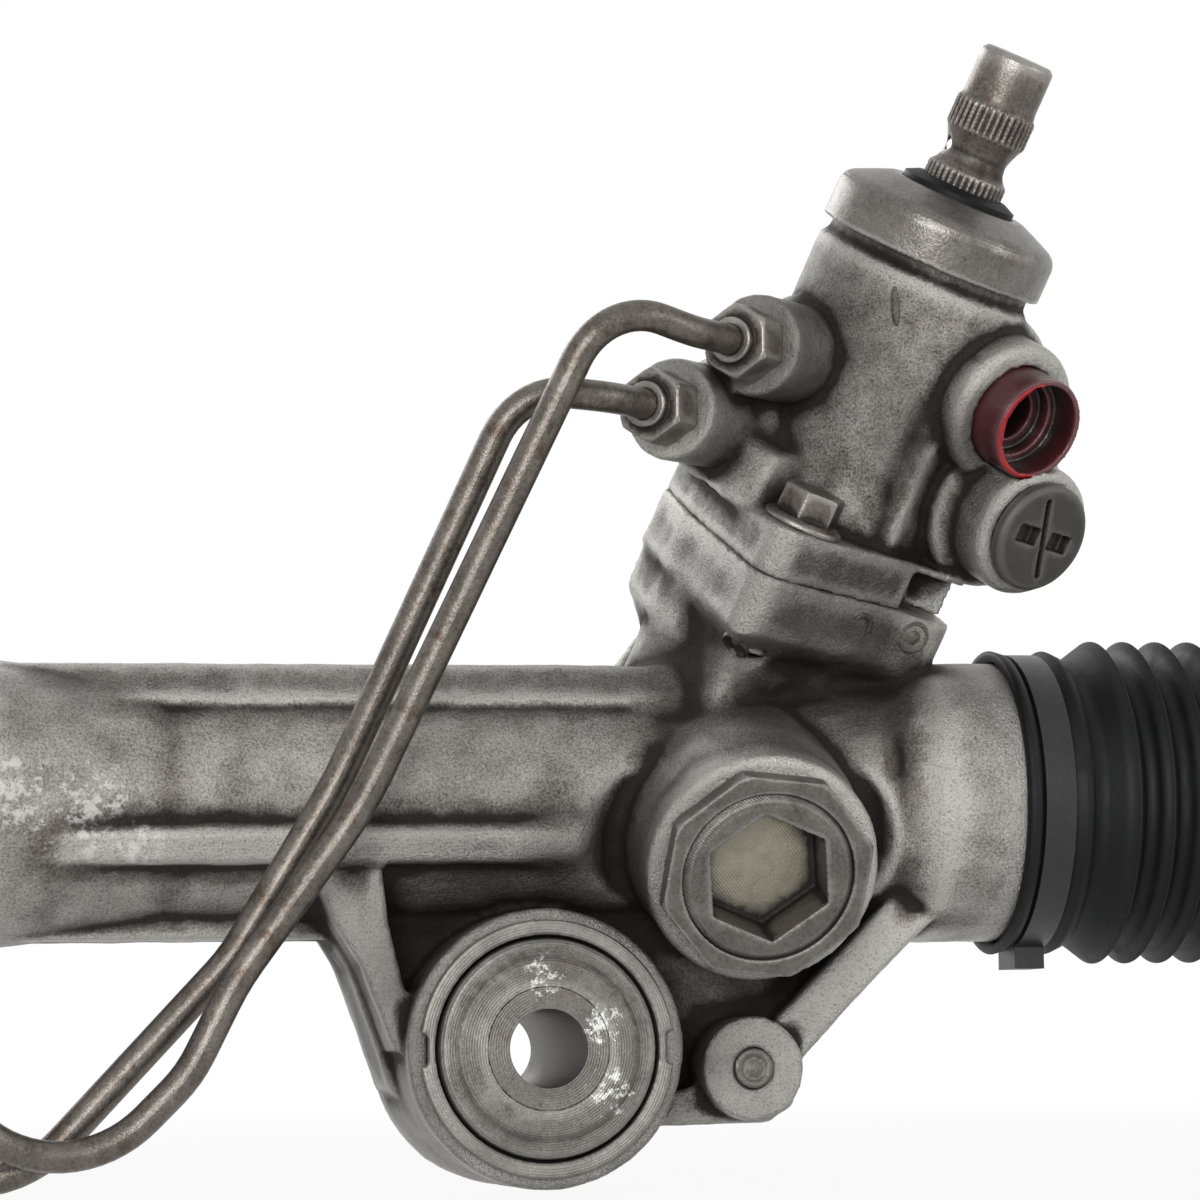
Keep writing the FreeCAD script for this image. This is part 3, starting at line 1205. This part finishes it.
def lock_washer():
    """Washer between bar and socket, with two claws folded over the flats of the socket."""
    flat = SOCKET_R - SOCKET_FLAT_DEPTH
    body = ring(flat, STUD_R, 0, LOCK_WASHER_THICK)
    for sign in (1, -1):
        claw = Part.makeBox(CLAW_THICK, 8, 7, Vector(flat + 0.1, -4, 0))
        tab = Part.makeBox(3 + CLAW_THICK, 8, LOCK_WASHER_THICK, Vector(flat - 3, -4, 0))
        folded = claw.fuse(tab)
        folded.rotate(Vector(0, 0, 0), Z_DIR, 90 - 90 * sign)
        body = body.fuse(folded)
    return body


def tie_rod():
    """Ball, neck, shank and threaded end."""
    tip = BALL_DEPTH + ROD_LENGTH
    thread = tip - ROD_THREAD_LENGTH
    neck_start = BALL_DEPTH + 8
    relief = ROD_THREAD_R - THREAD_RELIEF
    seat_low = boot_small_start() - 1.0
    seat_high = boot_small_start() + BOOT_SMALL_LENGTH + BOOT_FIT
    rod = turned([
        (0, neck_start), (ROD_NECK_R, neck_start), (ROD_NECK_R, BALL_DEPTH + 20), (ROD_R, BALL_DEPTH + 26),
        (ROD_R, seat_low), (ROD_R - ROD_GROOVE, seat_low), (ROD_R - ROD_GROOVE, seat_high), (ROD_R, seat_high),
        (ROD_R, thread - 14), (ROD_R + 1.2, thread - 13), (ROD_R + 1.2, thread - 2), (relief, thread),
        (relief, thread + 2 * JAM_NUT_GAP + JAM_NUT_HEIGHT), (ROD_THREAD_R, thread_start()),
        (ROD_THREAD_R, tip - 1.5), (ROD_THREAD_R - 1.5, tip), (0, tip)])
    flats = []
    for sign in (1, -1):
        low_x = ROD_R - 0.4 if sign > 0 else -ROD_R + 0.4 - 10
        flats.append(Part.makeBox(10, 30, 9, Vector(low_x, -15, thread - 12)))
    ball = Part.makeSphere(BALL_R, Vector(0, 0, BALL_DEPTH))
    return rod.cut(flats).fuse(ball)


def thread_start():
    """Where the thread reaches its full size, past the jam nut."""
    return BALL_DEPTH + ROD_LENGTH - ROD_THREAD_LENGTH + 2 * JAM_NUT_GAP + JAM_NUT_HEIGHT + 1.0


def jam_nut():
    low = BALL_DEPTH + ROD_LENGTH - ROD_THREAD_LENGTH + JAM_NUT_GAP
    high = low + JAM_NUT_HEIGHT
    nut = chamfered(hexagon(JAM_NUT_FLATS, low, high, 15), JAM_NUT_FLATS / 2 / math.cos(math.pi / 6),
                    low, high, 1.2)
    return nut.cut(cylinder(ROD_THREAD_R - THREAD_RELIEF + FIT, low - 1, high + 1))


# Boots, modelled outward on local Z from the end of the neck

def boot_lip_start():
    return -NECK_LIP - BOOT_SEAT_WIDTH - 1.5


def boot_small_start():
    """Start of the small end, measured from the end of the bar."""
    return BOOT_FIRST_RIDGE + BOOT_PITCH * (BOOT_RIDGES - 0.5) - STOP_LENGTH + 3


def boot():
    """Bellows from the neck to the tie rod."""
    seat_low = -NECK_LIP - BOOT_SEAT_WIDTH
    seat_high = -NECK_LIP
    lip = boot_lip_start()
    band_r = BOOT_SEAT_R + 2.2
    outside = [(BOOT_LIP_R, lip + 0.6), (BOOT_LIP_R - 0.6, seat_low + 1.2), (band_r, seat_low + 2.0),
               (band_r, seat_high - 0.4), (BOOT_LIP_R, seat_high + 1.0), (BOOT_LIP_R - 1.0, seat_high + 3.2),
               (BOOT_VALLEY_R, seat_high + 4.2)]
    straight = BOOT_RIDGES - BOOT_TAPER_RIDGES
    for index in range(BOOT_RIDGES):
        over = max(0, index - straight + 1) / (BOOT_TAPER_RIDGES + 1)
        shrink = (BOOT_VALLEY_R - BOOT_SMALL_R - 4) * over
        height = BOOT_FIRST_RIDGE + index * BOOT_PITCH
        outside.append((BOOT_RIDGE_R - shrink, height))
        outside.append((BOOT_VALLEY_R - shrink, height + BOOT_PITCH / 2))
    small_low = boot_small_start() + STOP_LENGTH
    small_high = small_low + BOOT_SMALL_LENGTH
    outside += [(BOOT_SMALL_R, small_low + 1), (BOOT_SMALL_R, small_high)]
    rod_r = ROD_R - ROD_GROOVE + BOOT_FIT
    taper_low = BOOT_FIRST_RIDGE + (straight - 1) * BOOT_PITCH
    inside = [(rod_r, small_high), (rod_r, small_low), (BOOT_VALLEY_R - BOOT_WALL, taper_low),
              (BOOT_VALLEY_R - BOOT_WALL, 1.5), (NECK_R + BOOT_FIT, 0.8), (NECK_R + BOOT_FIT, seat_high - BOOT_FIT),
              (BOOT_SEAT_R + BOOT_FIT, seat_high - BOOT_FIT), (BOOT_SEAT_R + BOOT_FIT, seat_low + BOOT_FIT),
              (NECK_R + BOOT_FIT, seat_low + BOOT_FIT), (NECK_R + BOOT_FIT + 0.6, lip)]
    return turned(outside + inside)


def large_clamp():
    """Band with a raised buckle below the boot."""
    low = -NECK_LIP - BOOT_SEAT_WIDTH + 2.4
    high = -NECK_LIP - 1.0
    inner = BOOT_SEAT_R + 2.2 + 0.05
    band = ring(inner + CLAMP_THICK, inner, low, high)
    buckle = Part.makeBox(5.0, 12.0, high - low, Vector(inner, -6.0, low))
    window = Part.makeBox(2.0, 8.0, high - low - 2, Vector(inner + 2, -4.0, low + 1))
    return band.fuse(buckle.cut(cylinder(inner + 0.1, low - 1, high + 1))).cut(window)


def small_clip():
    """Spring clip on the small end of the boot."""
    middle = boot_small_start() + STOP_LENGTH + BOOT_SMALL_LENGTH / 2
    body = ring(BOOT_SMALL_R + 1.0, BOOT_SMALL_R + 0.05, middle - 3, middle + 3)
    ears = []
    for sign in (1, -1):
        ear = Part.makeBox(1.2, 6.0, 5.0, Vector(sign * 2.4 - 0.6, BOOT_SMALL_R - 0.2, middle - 2.5))
        ears.append(ear.cut(cylinder(BOOT_SMALL_R + 0.05, middle - 4, middle + 4)))
    return fused([body] + ears)


# Fluid lines

def bent_path(points, radii):
    """Straight runs joined by tangent arcs, one radius for each corner."""
    edges = []
    start = points[0]
    for index, radius in enumerate(radii):
        corner = points[index + 1]
        back = (points[index] - corner).normalize()
        ahead = (points[index + 2] - corner).normalize()
        half = back.getAngle(ahead) / 2
        reach = radius / math.tan(half)
        arc_start = corner + back * reach
        arc_end = corner + ahead * reach
        toward = (back + ahead).normalize()
        arc_middle = corner + toward * (radius / math.sin(half) - radius)
        edges.append(Part.LineSegment(start, arc_start).toShape())
        edges.append(Part.Arc(arc_start, arc_middle, arc_end).toShape())
        start = arc_end
    edges.append(Part.LineSegment(start, points[-1]).toShape())
    return Part.Wire(edges)


def pipe(points, radii):
    path = bent_path(points, radii)
    direction = (points[1] - points[0]).normalize()
    section = Part.Wire(Part.makeCircle(LINE_R, points[0], direction))
    return path.makePipeShell([section], True, False)


def valve_nut_end(index):
    """Where a line leaves its flare nut on the valve housing, and which way."""
    place, length = line_ports()[index]
    outward = place.Rotation.multVec(Z_DIR)
    seat = place.multVec(Vector(0, 0, length - FLARE_NUT_GRIP))
    return seat, outward


def cylinder_nut_end(x):
    place = port_axis(x)
    outward = place.Rotation.multVec(Z_DIR)
    seat = place.multVec(Vector(0, 0, CYLINDER_TUBE_R + CYLINDER_PORT_LENGTH - FLARE_NUT_GRIP))
    return seat, outward


def fluid_line(index, down, back):
    """Steel line from the valve housing down past the barrel and back up to the cylinder."""
    start, leave = valve_nut_end(index)
    end, enter = cylinder_nut_end(port_places()[index])
    lead = FLARE_NUT_GRIP + FLARE_NUT_LENGTH
    points = [start, start + leave * (lead + LINE_LEAD)]
    points += [Vector(*corner) for corner, radius in down]
    turn_x = points[-1].x
    way = end.x - turn_x
    points += [Vector(turn_x + share * way, y, z) for (share, y, z), radius_share in back]
    points += [end + enter * (lead + LINE_END_LEAD), end]
    radii = [LINE_END_BEND] + [radius for corner, radius in down]
    radii += [-share * way for corner, share in back] + [LINE_END_BEND]
    return pipe(points, radii)


def flare_nut(seat, outward):
    """Flare nut on a line, bored for it."""
    hexed = hexagon(FLARE_NUT_FLATS, FLARE_NUT_GRIP, FLARE_NUT_LENGTH + FLARE_NUT_GRIP - 4)
    corner = FLARE_NUT_FLATS / 2 / math.cos(math.pi / 6)
    hexed = chamfered(hexed, corner, FLARE_NUT_GRIP, FLARE_NUT_LENGTH + FLARE_NUT_GRIP - 4, 0.8)
    thread = cylinder(nut_thread_radius() - FIT, 0, FLARE_NUT_GRIP)
    neck = cylinder(LINE_R + 1.6, FLARE_NUT_GRIP, FLARE_NUT_LENGTH + FLARE_NUT_GRIP - 2)
    bore = cylinder(LINE_R + FIT, -1, FLARE_NUT_LENGTH + FLARE_NUT_GRIP)
    side = X_DIR.cross(outward)
    nut = fused([hexed, thread, neck]).cut(bore)
    return placed(nut, frame(seat, side.normalize(), outward))


def flare_nuts():
    """Four equal nuts, two on the valve housing and two on the cylinder."""
    ends = [valve_nut_end(index) for index in (0, 1)] + [cylinder_nut_end(x) for x in port_places()]
    return Part.makeCompound([flare_nut(seat, outward) for seat, outward in ends])


def rod_seals():
    return Part.makeCompound([inner_rod_seal(), outer_rod_seal()])


def at_both_mounts(maker):
    """Equal pieces at the two mounting bores."""
    return Part.makeCompound([maker(0.0), maker(-MOUNT_SPAN)])


def side_pieces(side, outward, bar_end):
    """Inner tie rod of one side, by node name."""
    rod_frame = frame(RACK_AXIS + X_DIR * bar_end, Y_DIR, outward)
    makers = {"socket": socket_body, "ball_seat": ball_seat, "tie_rod": tie_rod, "jam_nut": jam_nut}
    return {side + "_" + name: placed(maker(), rod_frame) for name, maker in makers.items()}


def all_parts():
    """Every node of the steering rack."""
    parts = {
        "rack_housing": rack_housing(),
        "valve_housing": valve_housing(),
        "valve_housing_bolts": valve_housing_bolts(),
        "dust_cap": dust_cap(),
        "dust_seal": dust_seal(),
        "input_shaft_seal": input_shaft_seal(),
        "input_shaft_bearing": input_shaft_bearing(),
        "pressure_port_cap": pressure_port_cap(),
        "return_port_plug": return_port_plug(),
        "rack_guide": rack_guide(),
        "rack_guide_liner": rack_guide_liner(),
        "rack_guide_spring": rack_guide_spring(),
        "rack_guide_plug": rack_guide_plug(),
        "rack_guide_lock_nut": rack_guide_lock_nut(),
        "dowel_pin": dowel_pin(),
        "main_bearing_outer_ring": main_bearing_outer_ring(),
        "main_bearing_inner_ring": main_bearing_inner_ring(),
        "main_bearing_balls": main_bearing_balls(),
        "pinion_seal": pinion_seal(),
        "lower_pinion_bearing": lower_pinion_bearing(),
        "lower_cap": lower_cap(),
        "cylinder_tube": cylinder_tube(),
        "cylinder_end_housing": cylinder_end_housing(),
        "seal_holder": seal_holder(),
        "rod_seals": rod_seals(),
        "rack_bushing": rack_bushing(),
        "cylinder_mount_bracket": cylinder_mount_bracket(),
        "cylinder_mount_screw": cylinder_mount_screw(),
        "flare_nuts": flare_nuts(),
        "right_turn_line": fluid_line(0, RIGHT_TURN_DOWN, RIGHT_TURN_RETURN),
        "left_turn_line": fluid_line(1, LEFT_TURN_DOWN, LEFT_TURN_RETURN),
        "bush_outer_sleeves": at_both_mounts(bush_outer_sleeve),
        "bush_rubbers": at_both_mounts(bush_rubber),
        "bush_washers": at_both_mounts(bush_washers),
        "pinion_side_bush_inner_sleeve": bush_inner_sleeve(0.0),
        "cylinder_side_bush_inner_sleeve": bush_inner_sleeve(-MOUNT_SPAN),
        "rack_bar": rack_bar(),
        "piston": piston(),
        "piston_seal_ring": piston_seal_ring(),
        "pinion_shaft": pinion_shaft(),
        "valve_sleeve": valve_sleeve(),
        "sleeve_seal_rings": sleeve_seal_rings(),
        "input_shaft": input_shaft(),
        "torsion_bar": torsion_bar(),
        "torsion_pin": torsion_pin(),
    }
    parts.update(side_pieces("right", X_DIR, BAR_RIGHT))
    parts.update(side_pieces("left", -X_DIR, BAR_LEFT))
    right_neck = frame(RACK_AXIS + X_DIR * NECK_END, -Z_DIR, X_DIR)
    left_neck = frame(RACK_AXIS + X_DIR * CYLINDER_END, -Z_DIR, -X_DIR)
    right_bar = frame(RACK_AXIS + X_DIR * BAR_RIGHT, Y_DIR, X_DIR)
    left_bar = frame(RACK_AXIS + X_DIR * BAR_LEFT, Y_DIR, -X_DIR)
    parts["right_boot"] = placed(boot(), right_neck)
    parts["left_boot"] = placed(boot(), left_neck)
    parts["right_small_clip"] = placed(small_clip(), right_neck)
    parts["left_small_clip"] = placed(small_clip(), left_neck)
    parts["boot_clamps"] = Part.makeCompound([placed(large_clamp(), place) for place in (right_neck, left_neck)])
    parts["lock_washers"] = Part.makeCompound([placed(lock_washer(), place) for place in (right_bar, left_bar)])
    return parts


def save(name, shape):
    """Write one node after checking that its solid is sound."""
    if shape.isNull() or not shape.isValid() or shape.Volume <= 0:
        raise ValueError("bad shape: " + name)
    shape.exportStep("parts/" + name + ".step")


os.makedirs("parts", exist_ok=True)
for node_name, node_shape in all_parts().items():
    save(node_name, node_shape)
